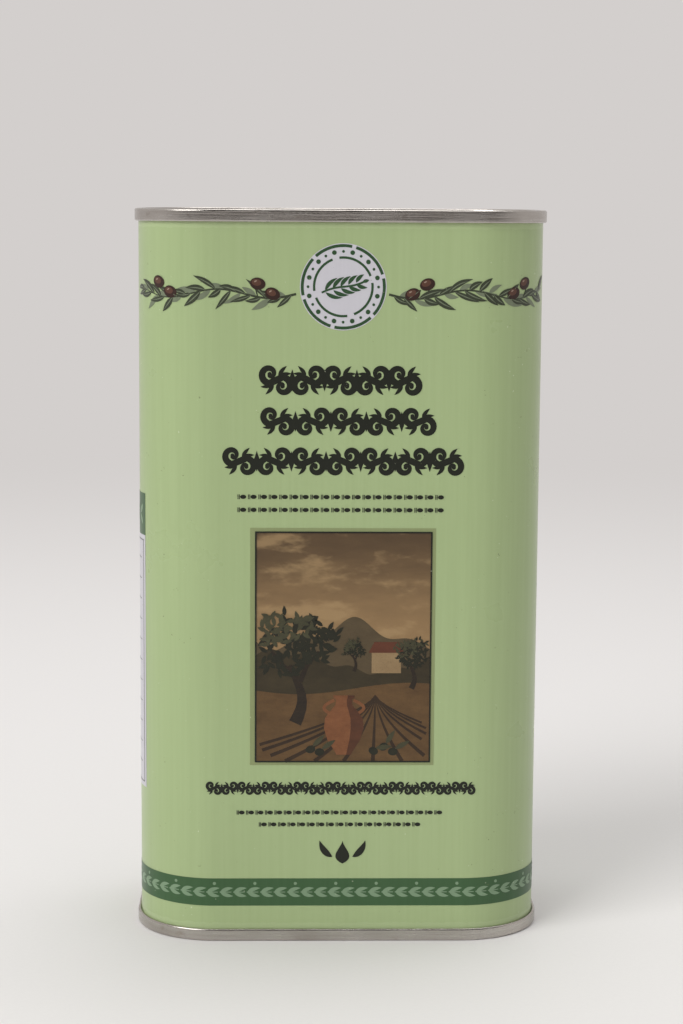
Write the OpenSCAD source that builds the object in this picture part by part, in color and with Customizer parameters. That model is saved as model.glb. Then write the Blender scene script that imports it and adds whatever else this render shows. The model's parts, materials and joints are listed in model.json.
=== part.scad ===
// Rectangular one-litre oil tin with double seams and a telescoping pouring spout.
// The origin is the middle of the base: X runs across the front, -Y is the front, Z is up.

/* [Tin body] */
// Width of the printed body, from narrow side to narrow side
body_w = 104; // [96:1:130]
// Depth of the printed body, from front to back
body_d = 60; // [56:1:80]
// Height over both seams
tin_h = 187.8; // [120:0.1:260]
// Radius of the four upright corners, to the outside of the sheet
corner_r = 20; // [12:0.5:24]
// Thickness of the body sheet
body_t = 0.24; // [0.18:0.01:0.32]
// Width of the lapped side weld
weld_w = 0.8; // [0.4:0.1:1.4]
// How far the side weld stands out of the sheet
weld_h = 0.1; // [0.06:0.01:0.2]

/* [Double seams] */
// Height of a double seam
seam_h = 3.16; // [2.9:0.02:3.6]
// Thickness of the sheet of both ends
end_t = 0.27; // [0.2:0.01:0.32]
// Free space between two layers of a seam
seam_gap = 0.05; // [0.03:0.01:0.08]
// Outer bend radius along the top of a seam
seam_bend_r = 0.5; // [0.4:0.05:0.6]
// Thickness of the sealing compound over the body hook
compound_t = 0.3; // [0.2:0.02:0.4]
// Free height between the end of the body hook and the bend under it
hook_clear = 0.39; // [0.35:0.01:0.7]

/* [Ends] */
// Depth of the top panel below the rim
top_sink = 4.6; // [4.2:0.1:7]
// Height of the bottom panel above the surface that the tin stands on
bottom_sink = 4.4; // [3.4:0.1:7]
// Depth of the groove round both panels
groove_depth = 1.2; // [1.1:0.05:2]
// Flat width of the floor of that groove
groove_w = 0.6; // [0.3:0.1:1.5]
// Inner bend radius of the groove
groove_r = 0.4; // [0.2:0.05:0.4]
// Distance of the stiffening bead in the bottom panel from the body's wall
bead_inset = 11; // [8:0.5:12]
// Outer bend radius of that bead, which is half its width
bead_r = 1.1; // [0.8:0.1:2]

/* [Spout collar] */
// Flat top panel left to the right of the seat
closure_margin = 1.07; // [0.5:0.01:12]
// How far the collar's flange reaches out of its sleeve
flange_out = 3.7; // [3:0.1:5]
// Thickness of the collar's flange
flange_t = 1.3; // [1:0.1:1.6]
// Wall of the collar's sleeve
sleeve_wall = 1.4; // [1:0.05:1.8]
// Depth of the sleeve's foot below the flange
sleeve_depth = 29; // [24:0.5:40]
// Thickness of the sleeve's foot, which the spout rests above
foot_t = 1.2; // [0.8:0.1:2]
// How far the foot reaches in from the sleeve
foot_reach = 2.8; // [1.5:0.1:3.5]
// How far the snap bead stands out of the sleeve
snap_out = 0.9; // [0.5:0.1:1.2]
// Height of the snap bead
snap_h = 1.6; // [1.2:0.1:2.4]
// Free height between the snap bead and the turned-down edge above it
snap_gap = 0.1; // [0.05:0.05:0.3]
// Gap between the sleeve and the hole that it goes through
sleeve_fit = 0.15; // [0.05:0.05:0.3]
// Depth of the seat under the closure, pressed into the top panel
seat_depth = 0.8; // [0.4:0.1:1]
// Width of the seat left round the flange
seat_margin = 2; // [1:0.1:3]
// How far the gasket stays inside the flange's edge
gasket_inset = 0.5; // [0:0.1:1]
// Gap between the gasket and the sleeve
gasket_fit = 0.6; // [0.3:0.1:1.5]
// Thickness of the gasket
gasket_t = 0.5; // [0.3:0.1:0.8]
// Depth of the turned-down edge of the hole in the top
hole_edge_depth = 2.2; // [1.6:0.1:3]

/* [Spout] */
// Inner radius of the pouring tube
bore_r = 11.1; // [8:0.1:13.4]
// Wall of the pouring tube
tube_wall = 1.2; // [0.9:0.05:1.3]
// Height of the sliding foot of the tube
slider_h = 3; // [2:0.1:5]
// Depth of the groove between the two lands of the sliding foot
slider_groove = 0.4; // [0.2:0.1:0.8]
// Radius of the rolled pouring lip
lip_roll = 0.25; // [0.1:0.05:0.5]
// How far the neck's bead stands out over the tamper band
neck_bead_out = 0.55; // [0.4:0.05:0.7]
// Height of the edge of that bead
neck_bead_edge = 0.4; // [0.2:0.1:0.6]
// Radial room for the thread, between the tube and the cap's skirt
thread_room = 0.95; // [0.8:0.05:1.2]
// Running clearance of the sliding foot in the sleeve
slide_fit = 0.09; // [0.03:0.01:0.1]
// How far the collar's lip reaches in over the sliding foot
lip_catch = 0.65; // [0.5:0.05:0.8]
// Free height kept at each end of the spout's travel
travel_gap = 0.3; // [0.1:0.05:0.6]

/* [Cap] */
// Thickness of the cap's top
cap_top_t = 1.1; // [0.8:0.1:1.6]
// Depth of the cap's skirt below its top
skirt_depth = 8.6; // [6:0.1:10]
// Wall of the cap's skirt
skirt_wall = 1.15; // [0.9:0.05:1.2]
// Gap between the cap and the collar's lip
cap_gap = 0.35; // [0.2:0.05:0.5]
// Number of grip flutes round the skirt
flutes = 24; // [12:2:36]
// Depth of a grip flute
flute_depth = 0.35; // [0.2:0.05:0.5]
// Radius of the cutter of a grip flute
flute_r = 0.9; // [0.6:0.05:1.2]
// Thickness of the sealing liner
liner_t = 0.9; // [0.6:0.1:1.4]
// Height of the tamper band left on the neck
band_h = 2.4; // [1.6:0.1:3]
// Gap between the skirt and the tamper band
band_gap = 0.4; // [0.3:0.05:0.8]
// Gap between the tamper band and the tube
band_fit = 0.15; // [0.1:0.05:0.3]
// Height of the band's inner ledge, under the neck's bead
ledge_h = 0.8; // [0.5:0.1:0.9]
// Gap between the liner and the skirt round it
liner_fit = 0.2; // [0.1:0.05:0.4]
// Distance of the raised parts of the cap below the rim
top_clear = 0.8; // [0.5:0.1:1.2]

/* [Pull bails] */
// Thickness of a bail
bail_t = 1.5; // [1.2:0.1:1.8]
// Radial width of a bail
bail_w = 2.5; // [1.8:0.1:3]
// Wall of the cap's rim round the bails
rim_wall = 1.15; // [0.8:0.05:1.5]
// Distance of a bail's pivot from the middle of the cap
pivot_x = 1.3; // [1.2:0.05:1.6]
// Radius of a bail's pivot pin
pin_r = 0.5; // [0.4:0.05:0.55]
// Running clearance of a pivot pin in its lug
pin_fit = 0.08; // [0.03:0.01:0.1]
// Length of a pivot pin
pin_len = 1.9; // [1.2:0.1:2.4]
// Gap between a bail and the cap's top
bail_gap = 0.15; // [0.1:0.05:0.3]
// Gap between a bail and the lug that it turns in
lug_gap = 0.35; // [0.2:0.05:0.5]
// Wall of a lug beside its pin hole
lug_wall = 0.62; // [0.4:0.02:0.8]
// Thickness of a lug behind the end of the pins
lug_back = 0.3; // [0.2:0.1:0.6]
// Width of the finger notch in the cap's rim
notch_w = 7; // [5:0.5:9]

/* [Hidden] */
$fn = 96;
eps = 0.01;
sheet = "silver";
lacquer = [0.66, 0.73, 0.52];
plastic = [0.16, 0.27, 0.16];

// seam layers, measured outwards from the outside of the body sheet
chuck_x = -body_t - seam_gap;
cover_x = seam_gap;
hook_x = 2 * seam_gap + end_t;
wall_x = 3 * seam_gap + end_t + body_t;
seam_out = wall_x + end_t;
body_bend_r = body_t + seam_gap + end_t / 2;
body_bend_x = body_bend_r - body_t;
body_bend_y = -end_t - compound_t - body_bend_r;
cover_bend_r = (seam_out - cover_x) / 2;
cover_bend_y = cover_bend_r - seam_h;
cover_hook_top = body_bend_y - 0.2;
hook_reach = seam_h - end_t - hook_clear;

// panel edge, measured the same way
groove_x = chuck_x - end_t - groove_r;
inner_wall_x = groove_x - groove_w - groove_r - end_t;
panel_x = inner_wall_x - groove_r;
panel_inset = -panel_x;

// heights of the closure
seat_z = tin_h - top_sink - seat_depth;
flange_z = seat_z + gasket_t;
collar_top = flange_z + flange_t;
foot_z = flange_z - sleeve_depth;
snap_z = seat_z - end_t - hole_edge_depth - snap_gap;
cap_rim_z = tin_h - top_clear;
cap_top_z = cap_rim_z - bail_t - bail_gap;
liner_z = cap_top_z - cap_top_t;
neck_z = liner_z - liner_t;
skirt_z = liner_z - skirt_depth;
band_z = skirt_z - band_gap - band_h;
pivot_z = cap_rim_z - bail_t / 2;

// radii of the closure, each from the one inside it, and its place
tube_r = bore_r + tube_wall;
skirt_in_r = tube_r + thread_room;
cap_r = skirt_in_r + skirt_wall;
lip_r = cap_r + cap_gap;
sleeve_in_r = lip_r + lip_catch;
slider_r = sleeve_in_r - slide_fit;
foot_hole_r = sleeve_in_r - foot_reach;
sleeve_r = sleeve_in_r + sleeve_wall;
hole_r = sleeve_r + sleeve_fit;
flange_r = sleeve_r + flange_out;
seat_r = flange_r + seat_margin;
closure_x = body_w / 2 - panel_inset - closure_margin - seat_depth - seat_r;

// heights and lengths of the spout's slide
slider_z = foot_z + foot_t + travel_gap;
spout_travel = flange_z - travel_gap - (slider_z + slider_h);

// lugs and bails
lug_x = pivot_x + pin_r + pin_fit + lug_wall;
lug_y = pin_len + lug_back;
bail_out_r = cap_r - rim_wall - lug_gap;
bail_in_r = bail_out_r - bail_w;
lug_out_y = sqrt(pow(bail_in_r, 2) - pow(lug_x, 2)) - lug_gap;

// A flat outline that follows the body, drawn in by the inset
module outline(inset) {
    r = corner_r - inset;
    x = body_w / 2 - corner_r;
    y = body_d / 2 - corner_r;
    square([2 * x, 2 * (y + r)], center = true);
    square([2 * (x + r), 2 * y], center = true);
    for (sx = [-1, 1], sy = [-1, 1])
        translate([sx * x, sy * y]) circle(r);
}

// Sweeps a section once round the body: its x runs outwards from the sheet, its y upwards
module around() {
    x = body_w / 2 - corner_r;
    y = body_d / 2 - corner_r;
    for (turn = [0, 180]) rotate(turn) {
        translate([-x, body_d / 2, 0])
            rotate([90, 0, 90]) linear_extrude(2 * x) children();
        translate([body_w / 2, y, 0])
            rotate([90, 0, 0]) linear_extrude(2 * y) children();
        translate([x, y, 0])
            rotate_extrude(angle = 90) translate([corner_r, 0]) children();
        translate([-x, y, 0]) rotate(90)
            rotate_extrude(angle = 90) translate([corner_r, 0]) children();
    }
}

// A quarter of a disc, in one quadrant counted from +X, +Y
module quarter(r, quadrant) {
    rotate(90 * quadrant) intersection() {
        circle(r);
        square(r);
    }
}

// A quarter of a bent sheet: its inner radius, its thickness and the quadrant that it fills
module bend(r, t, quadrant) {
    difference() {
        quarter(r + t, quadrant);
        circle(r);
    }
}

// An upright stretch of sheet
module upright(x, low, high, t) {
    translate([x, low]) square([t, high - low]);
}

// The body sheet's hook, bent out and down, with the top of the seam at y = 0
module body_hook() {
    inner = body_bend_r - body_t;
    translate([body_bend_x, body_bend_y]) {
        bend(inner, body_t, 0);
        bend(inner, body_t, 1);
    }
    upright(hook_x, -hook_reach, body_bend_y, body_t);
}

// An end's edge from its panel out to its cover hook, with the top of the seam at y = 0
module end_edge(sink) {
    floor_y = -sink - groove_depth;
    bend_in = seam_bend_r - end_t;
    // the panel's rounded shoulder and the groove's inner wall
    translate([panel_x, -sink - end_t - groove_r]) bend(groove_r, end_t, 0);
    upright(inner_wall_x, floor_y + groove_r, -sink - end_t - groove_r, end_t);
    // the groove's floor
    translate([groove_x - groove_w, floor_y + groove_r]) bend(groove_r, end_t, 2);
    translate([groove_x - groove_w, floor_y - end_t]) square([groove_w, end_t]);
    translate([groove_x, floor_y + groove_r]) bend(groove_r, end_t, 3);
    // the wall inside the body and the flat top of the seam
    upright(chuck_x - end_t, floor_y + groove_r, -seam_bend_r, end_t);
    translate([chuck_x - end_t + seam_bend_r, -seam_bend_r]) bend(bend_in, end_t, 1);
    translate([chuck_x - end_t + seam_bend_r, -end_t])
        square([seam_out - chuck_x + end_t - 2 * seam_bend_r, end_t]);
    translate([seam_out - seam_bend_r, -seam_bend_r]) bend(bend_in, end_t, 0);
    // the outside of the seam and the hook tucked up behind the body's
    upright(wall_x, cover_bend_y, -seam_bend_r, end_t);
    translate([cover_x + cover_bend_r, cover_bend_y]) {
        bend(cover_bend_r - end_t, end_t, 2);
        bend(cover_bend_r - end_t, end_t, 3);
    }
    upright(cover_x, cover_bend_y, cover_hook_top, end_t);
}

// The compound in the top of a seam, over the body's hook
module compound_section() {
    low = -end_t - compound_t + eps;
    translate([body_bend_x - 0.3, low]) square([0.6, compound_t - 2 * eps]);
}

// The printed sheet with a hook at each end and its lapped weld up the right side
module tin_body() color(lacquer) {
    around() {
        upright(-body_t, -body_bend_y, tin_h + body_bend_y, body_t);
        translate([0, tin_h]) body_hook();
        mirror([0, 1]) body_hook();
    }
    translate([body_w / 2 - body_t / 2, -weld_w / 2, seam_h + weld_h])
        cube([body_t / 2 + weld_h, weld_w, tin_h - 2 * (seam_h + weld_h)]);
}

// The top: edge, panel, pressed seat and the turned-down hole that holds the collar
module top_end() color(sheet) {
    panel_z = tin_h - top_sink;
    slope_shift = end_t * tan(22.5);
    lap = 0.4;
    step_r = groove_r / 2;
    translate([0, 0, tin_h]) around() end_edge(top_sink);
    difference() {
        translate([0, 0, panel_z - end_t]) linear_extrude(end_t) outline(panel_inset);
        translate([closure_x, 0, panel_z - 2 * end_t])
            cylinder(r = seat_r + seat_depth + slope_shift, h = 3 * end_t);
    }
    translate([closure_x, 0, 0]) rotate_extrude() {
        // the sloping step down from the panel to the seat
        polygon([
            [seat_r - lap, seat_z - end_t],
            [seat_r + slope_shift, seat_z - end_t],
            [seat_r + seat_depth + slope_shift, panel_z - end_t],
            [seat_r + seat_depth + lap, panel_z - end_t],
            [seat_r + seat_depth + lap, panel_z],
            [seat_r + seat_depth, panel_z],
            [seat_r, seat_z],
            [seat_r - lap, seat_z],
        ]);
        // the seat and the turned-down edge of the hole
        translate([hole_r + end_t + step_r, seat_z - end_t])
            square([seat_r - hole_r - end_t - step_r, end_t]);
        translate([hole_r + end_t + step_r, seat_z - end_t - step_r]) bend(step_r, end_t, 1);
        upright(hole_r, seat_z - end_t - hole_edge_depth, seat_z - end_t - step_r, end_t);
    }
}

// The bottom: the same edge turned over, with an arched bead pressed into the panel
module bottom_end() color(sheet) {
    bead_x = -bead_inset - bead_r;
    bead_in = bead_r - end_t;
    mirror([0, 0, 1]) around() end_edge(bottom_sink);
    difference() {
        translate([0, 0, bottom_sink]) linear_extrude(end_t) outline(panel_inset);
        translate([0, 0, bottom_sink - end_t]) linear_extrude(3 * end_t) difference() {
            outline(bead_inset + end_t);
            outline(bead_inset + 2 * bead_r - end_t);
        }
    }
    around() {
        translate([bead_x, bottom_sink]) {
            bend(bead_in, end_t, 0);
            bend(bead_in, end_t, 1);
        }
    }
}

module top_seam_compound() color("dimgray")
    translate([0, 0, tin_h]) around() compound_section();

module bottom_seam_compound() color("dimgray")
    mirror([0, 0, 1]) around() compound_section();

module neck_gasket() color("white")
    translate([closure_x, 0, seat_z]) difference() {
        cylinder(r = flange_r - gasket_inset, h = gasket_t);
        translate([0, 0, -eps]) cylinder(r = sleeve_r + gasket_fit, h = gasket_t + 2 * eps);
    }

// The fixed part of the closure: flange, lip, sleeve, snap bead and foot
module spout_collar() color(plastic)
    translate([closure_x, 0, 0]) rotate_extrude() {
        edge = flange_t / 2;
        // flange with a rounded edge, whose inner edge is the lip that keeps the spout in
        translate([lip_r, flange_z]) square([flange_r - edge - lip_r, flange_t]);
        translate([flange_r - edge, flange_z + edge]) {
            quarter(edge, 0);
            quarter(edge, 3);
        }
        // sleeve, and the foot that the spout stands on
        upright(sleeve_in_r, foot_z, flange_z + flange_t, sleeve_wall);
        translate([foot_hole_r, foot_z]) square([sleeve_r - foot_hole_r, foot_t]);
        // snap bead with its sloping lead-in
        polygon([
            [sleeve_r - sleeve_wall / 2, snap_z - snap_h],
            [sleeve_r, snap_z - snap_h],
            [sleeve_r + snap_out, snap_z - snap_h / 3],
            [sleeve_r + snap_out, snap_z - snap_h / 8],
            [sleeve_r, snap_z],
            [sleeve_r - sleeve_wall / 2, snap_z],
        ]);
    }

// The pouring tube: rolled lip, neck, bead over the tamper band, and sliding foot
module spout_tube() color(plastic)
    translate([closure_x, 0, 0]) rotate_extrude() {
        bead_z = band_z + band_h / 2;
        groove_z = slider_z + slider_h / 3;
        upright(bore_r, slider_z, neck_z - lip_roll, tube_wall);
        translate([bore_r + lip_roll, neck_z - 2 * lip_roll])
            square([tube_wall - 2 * lip_roll, 2 * lip_roll]);
        translate([bore_r + lip_roll, neck_z - lip_roll]) quarter(lip_roll, 1);
        translate([tube_r - lip_roll, neck_z - lip_roll]) quarter(lip_roll, 0);
        polygon([
            [bore_r, bead_z],
            [tube_r + neck_bead_out, bead_z],
            [tube_r + neck_bead_out, bead_z + neck_bead_edge],
            [tube_r, bead_z + neck_bead_edge + neck_bead_out],
            [bore_r, bead_z + neck_bead_edge + neck_bead_out],
        ]);
        // the foot slides in the sleeve on two lands with a groove between them
        difference() {
            translate([bore_r, slider_z]) square([slider_r - bore_r, slider_h]);
            translate([slider_r - slider_groove, groove_z]) square([slider_r, slider_h / 3]);
        }
    }

// What is left of the tamper ring: a band whose ledge stays under the bead of the neck
module tamper_band() color(plastic)
    translate([closure_x, 0, 0]) rotate_extrude() {
        upright(skirt_in_r, band_z, band_z + band_h, skirt_wall);
        upright(tube_r + band_fit, band_z, band_z + ledge_h, cap_r - tube_r - band_fit);
    }

module cap_liner() color("white")
    translate([closure_x, 0, neck_z]) cylinder(r = skirt_in_r - liner_fit, h = liner_t);

// The screw cap: top, rim, fluted skirt, and the two lugs that carry the bails
module screw_cap() color(plastic)
    translate([closure_x, 0, 0]) difference() {
        union() {
            rotate_extrude() {
                translate([0, liner_z]) square([cap_r, cap_top_t]);
                upright(skirt_in_r, skirt_z, cap_top_z, skirt_wall);
                upright(cap_r - rim_wall, liner_z, cap_rim_z, rim_wall);
            }
            for (side = [-1, 1])
                translate([-lug_x, side * (lug_out_y - lug_y / 2) - lug_y / 2, liner_z])
                    cube([2 * lug_x, lug_y, cap_rim_z - liner_z]);
        }
        // pin holes of the two bails, and the finger notches over the middle of each
        for (side = [-1, 1]) {
            translate([side * pivot_x, 0, pivot_z]) rotate([90, 0, 0])
                cylinder(r = pin_r + pin_fit, h = 2 * lug_out_y + 2 * eps, center = true);
            translate([side * cap_r, 0, cap_rim_z])
                cube([3 * rim_wall, notch_w, 2 * (cap_rim_z - cap_top_z)], center = true);
        }
        // grip flutes
        for (i = [0 : flutes - 1])
            rotate((i + 0.5) * 360 / flutes)
                translate([cap_r + flute_r - flute_depth, 0, skirt_z - eps])
                    cylinder(r = flute_r, h = skirt_depth + cap_top_t / 2);
    }

// A half ring that folds up from the cap's top, drawn for the right-hand side
module bail() color(plastic) {
    hub_in_y = sqrt(pow(bail_in_r, 2) - pow(pivot_x, 2));
    hub_out_y = sqrt(pow(bail_out_r, 2) - pow(pivot_x, 2));
    pin_end_y = lug_out_y - pin_len;
    translate([0, 0, pivot_z - bail_t / 2]) linear_extrude(bail_t) difference() {
        intersection() {
            circle(bail_out_r);
            translate([pivot_x, -bail_out_r]) square([bail_out_r, 2 * bail_out_r]);
        }
        circle(bail_in_r);
    }
    for (side = [-1, 1]) {
        translate([pivot_x, side * (hub_in_y + hub_out_y) / 2, pivot_z]) rotate([90, 0, 0])
            cylinder(r = bail_t / 2, h = hub_out_y - hub_in_y, center = true);
        translate([pivot_x, side * (hub_out_y + pin_end_y) / 2, pivot_z]) rotate([90, 0, 0])
            cylinder(r = pin_r, h = hub_out_y - pin_end_y, center = true);
    }
}

module bail_right() translate([closure_x, 0, 0]) bail();

module bail_left() translate([closure_x, 0, 0]) rotate(180) bail();

tin_body();
top_end();
bottom_end();
top_seam_compound();
bottom_seam_compound();
neck_gasket();
spout_collar();
spout_tube();
tamper_band();
cap_liner();
screw_cap();
bail_left();
bail_right();
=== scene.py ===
import json
import math
import random

import bpy
from mathutils import Matrix, Vector

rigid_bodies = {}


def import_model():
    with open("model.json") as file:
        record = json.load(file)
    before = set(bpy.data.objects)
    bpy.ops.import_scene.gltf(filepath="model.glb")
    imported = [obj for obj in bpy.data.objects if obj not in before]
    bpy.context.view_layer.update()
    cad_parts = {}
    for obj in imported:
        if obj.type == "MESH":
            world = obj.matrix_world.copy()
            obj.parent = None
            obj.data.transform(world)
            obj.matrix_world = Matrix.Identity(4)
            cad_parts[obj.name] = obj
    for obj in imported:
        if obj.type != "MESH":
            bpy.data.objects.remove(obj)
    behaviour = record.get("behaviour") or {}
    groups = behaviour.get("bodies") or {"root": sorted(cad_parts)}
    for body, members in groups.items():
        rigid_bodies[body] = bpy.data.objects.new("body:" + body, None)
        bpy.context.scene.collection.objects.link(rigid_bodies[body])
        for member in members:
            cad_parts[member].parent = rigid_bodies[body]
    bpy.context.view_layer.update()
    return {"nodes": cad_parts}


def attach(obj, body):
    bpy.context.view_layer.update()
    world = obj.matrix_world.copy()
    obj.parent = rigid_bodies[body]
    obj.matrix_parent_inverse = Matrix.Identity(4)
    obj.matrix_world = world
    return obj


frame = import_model()
nodes = frame["nodes"]
mm = 0.001
random.seed(7)
print("frame loaded:", len(nodes), "nodes")

# eye in millimetres, angles in radians
cameraView = {"eye": (-15.14, -612.46, 191.85), "yaw": 0.0261, "pitch": -0.1362,
              "roll": 0.0064, "lens": 81.77, "longSide": 36}


def makeCamera(view):
    yaw, pitch, roll = view["yaw"], view["pitch"], view["roll"]
    ahead = Vector((math.sin(yaw) * math.cos(pitch), math.cos(yaw) * math.cos(pitch),
                    math.sin(pitch)))
    level = Vector((math.cos(yaw), -math.sin(yaw), 0))
    upright = level.cross(ahead)
    right = math.cos(roll) * level + math.sin(roll) * upright
    up = math.cos(roll) * upright - math.sin(roll) * level
    data = bpy.data.cameras.new("camera")
    data.lens, data.sensor_width = view["lens"], view["longSide"]
    camera = bpy.data.objects.new("camera", data)
    bpy.context.collection.objects.link(camera)
    turn = Matrix((right, up, -ahead)).transposed().to_4x4()
    camera.matrix_world = Matrix.Translation(Vector(view["eye"]) * mm) @ turn
    bpy.context.scene.camera = camera


makeCamera(cameraView)
print("camera placed")


def tint(red, green, blue):  # a screen colour, 0 to 255, as the shaders want it
    parts = [c / 255 for c in (red, green, blue)]
    return (*[c / 12.92 if c < 0.04045 else ((c + 0.055) / 1.055) ** 2.4 for c in parts], 1)


class Wire:  # a node's output, on which sums can be written
    def __init__(self, board, socket):
        self.board, self.socket = board, socket

    def sum(self, operation, first, second):
        return self.board.node("ShaderNodeMath", {"operation": operation},
                               {0: first, 1: second})

    def larger(self, other):
        return self.sum("MAXIMUM", self, other)

    def __abs__(self):
        return self.board.node("ShaderNodeMath", {"operation": "ABSOLUTE"}, {0: self})

    def __add__(self, other):
        return self.sum("ADD", self, other)

    def __mul__(self, other):
        return self.sum("MULTIPLY", self, other)

    def __sub__(self, other):
        return self.sum("SUBTRACT", self, other)

    def __rsub__(self, other):
        return self.sum("SUBTRACT", other, self)

    def __gt__(self, other):
        return self.sum("GREATER_THAN", self, other)

    def __lt__(self, other):
        return self.sum("LESS_THAN", self, other)

    __radd__, __rmul__ = __add__, __mul__


class Board:  # the nodes of a material or of the world
    def __init__(self, owner, endKind):
        owner.use_nodes = True
        self.tree = owner.node_tree
        self.tree.nodes.clear()
        self.end = self.tree.nodes.new(endKind)

    def node(self, kind, settings=None, sockets=None, out=0):
        made = self.tree.nodes.new(kind)
        for key, value in (settings or {}).items():
            setattr(made, key, value)
        for key, value in (sockets or {}).items():
            if isinstance(value, Wire):
                self.tree.links.new(value.socket, made.inputs[key])
            else:
                made.inputs[key].default_value = value
        return Wire(self, made.outputs[out])

    def blend(self, factor, first, second):
        return self.node("ShaderNodeMix", {"data_type": "RGBA"},
                         {0: factor, 6: first, 7: second}, out=2)

    def mix(self, factor, first, second):
        return self.node("ShaderNodeMixShader", {}, {0: factor, 1: first, 2: second})

    def show(self, surface):
        self.tree.links.new(surface.socket, self.end.inputs[0])


class Finish(Board):  # a material with a principled shader
    def __init__(self, name, **uniform):
        self.material = bpy.data.materials.new(name)
        super().__init__(self.material, "ShaderNodeOutputMaterial")
        self.shader = self.tree.nodes.new("ShaderNodeBsdfPrincipled")
        self.surface = Wire(self, self.shader.outputs[0])
        self.show(self.surface)
        self.place = self.node("ShaderNodeTexCoord", out="Object")
        for socket, value in uniform.items():
            self.shader.inputs[socket.replace("_", " ")].default_value = value

    def feed(self, socket, wire):
        self.tree.links.new(wire.socket, self.shader.inputs[socket])

    def noise(self, scale, stretch=(1, 1, 1), detail=3, rough=0.5):
        place = self.node("ShaderNodeMapping", {}, {"Vector": self.place, "Scale": stretch})
        return self.node("ShaderNodeTexNoise", {}, {"Vector": place, "Scale": scale,
                                                    "Detail": detail, "Roughness": rough})

    def step(self, value, low, high):
        return self.node("ShaderNodeMapRange", {"interpolation_type": "SMOOTHSTEP"},
                         {"Value": value, "From Min": low, "From Max": high})

    def between(self, value, low, high):  # nearly all of a noise lies from 0.25 to 0.75
        return self.node("ShaderNodeMapRange", {}, {"Value": value, "From Min": 0.25,
                                                    "From Max": 0.75, "To Min": low,
                                                    "To Max": high})

    def bump(self, height, strength, depth):
        self.feed("Normal", self.node("ShaderNodeBump", {}, {"Height": height,
                                                             "Strength": strength,
                                                             "Distance": depth}))


def dress(piece, finish):
    piece.data.materials.clear()
    piece.data.materials.append(finish.material)


# heights and widths in millimetres
lacquerLook = {"green": (161, 179, 129), "worn": (186, 199, 156), "roughness": 0.3,
               "swing": 4.5, "speckDark": (92, 98, 66), "speckPale": (214, 220, 190),
               "paleAbove": 183.8, "paleBelow": 4.0, "pale": 0.22,
               "bareFrom": 50.0, "bareHalf": 4.0}
glossLook = {"smoother": 0.05, "rougher": 0.08, "peel": 900, "waves": 28,
             "strength": 0.12, "depth": 0.0004}  # this depth in metres
inkShine = {"Coat_Weight": 0.08, "Coat_Roughness": 0.15, "Specular_IOR_Level": 0.3}


def speckled(finish, colour, strength=1.0):
    # fine streaks of the rolled sheet under the ink, slow clouding and a few specks
    swing = lacquerLook["swing"] * strength
    lighter = tint(*[min(255, c + swing) for c in colour])
    darker = tint(*[max(0, c - swing) for c in colour])
    streaks = finish.noise(160, (5, 5, 0.12), 4, 0.6)  # long upright strokes
    clouds = finish.noise(22, (1, 1, 0.6), 2)
    base = finish.blend(finish.between(streaks * 0.6 + clouds * 0.4, 0, 1), darker, lighter)
    dots = finish.noise(1500, detail=1)
    sparse = finish.noise(260, detail=1) > 0.62
    dark, pale = (dots > 0.74) * sparse * 0.55, (dots < 0.255) * sparse * 0.5
    base = finish.blend(dark, base, tint(*lacquerLook["speckDark"]))
    return finish.blend(pale, base, tint(*lacquerLook["speckPale"]))


def glossOf(finish, roughness):
    rubbed = finish.noise(45, detail=4)
    finish.feed("Roughness", finish.between(rubbed, roughness - glossLook["smoother"],
                                            roughness + glossLook["rougher"]))
    peel = finish.noise(glossLook["peel"], detail=2)
    waves = finish.noise(glossLook["waves"], (1, 1, 0.35), 2)
    finish.bump(peel * 0.25 + waves, glossLook["strength"], glossLook["depth"])


def printed(name, colour, roughness, strength):
    finish = Finish(name, **inkShine)
    finish.feed("Base Color", speckled(finish, colour, strength))
    glossOf(finish, roughness)
    return finish


def tinplate(name):
    look = {"bright": (204, 200, 195), "dull": (160, 153, 146), "stain": (128, 112, 98),
            "smoothest": 0.16, "roughest": 0.34}
    finish = Finish(name, Metallic=1.0)
    drawn = finish.noise(120, (0.5, 0.5, 14), 4, 0.65)  # lines that run round the seams
    patches = finish.noise(70)
    base = finish.blend(finish.between(drawn * 0.5 + patches * 0.5, 0, 1),
                        tint(*look["dull"]), tint(*look["bright"]))
    stains = finish.step(finish.noise(210, (1, 1, 2), 4), 0.62, 0.76)
    finish.feed("Base Color", finish.blend(stains * 0.35, base, tint(*look["stain"])))
    finish.feed("Roughness", finish.between(patches * 0.6 + drawn * 0.4,
                                            look["smoothest"], look["roughest"]))
    finish.bump(drawn * 0.4 + finish.noise(55, detail=2), 0.25, 0.0005)
    return finish


def bodyLacquer():
    finish = Finish("body lacquer", Specular_IOR_Level=0.4, Coat_Roughness=0.15)
    base = speckled(finish, lacquerLook["green"])
    x, y, z = [finish.node("ShaderNodeSeparateXYZ", {}, {0: finish.place}, out=i)
               for i in range(3)]
    # the ink thins to a paler green where the sheet bends into the seams
    fray = finish.noise(500, (1, 1, 0.5)) * 0.0012
    nearTop = z + fray > lacquerLook["paleAbove"] * mm
    nearFoot = z - fray < lacquerLook["paleBelow"] * mm
    base = finish.blend((nearTop + nearFoot) * lacquerLook["pale"], base,
                        tint(*lacquerLook["worn"]))
    # no ink along the side weld
    bare = ((x > lacquerLook["bareFrom"] * mm)
            * (abs(y) + fray * 0.15 < lacquerLook["bareHalf"] * mm))
    drawn = finish.noise(140, (3, 3, 0.1), 3, 0.6)
    metal = finish.blend(finish.between(drawn, 0, 1), tint(150, 147, 143), tint(198, 196, 192))
    finish.feed("Base Color", finish.blend(bare, base, metal))
    finish.feed("Metallic", bare)
    finish.feed("Coat Weight", (1 - bare) * 0.15)
    glossOf(finish, lacquerLook["roughness"])
    return finish


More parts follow.
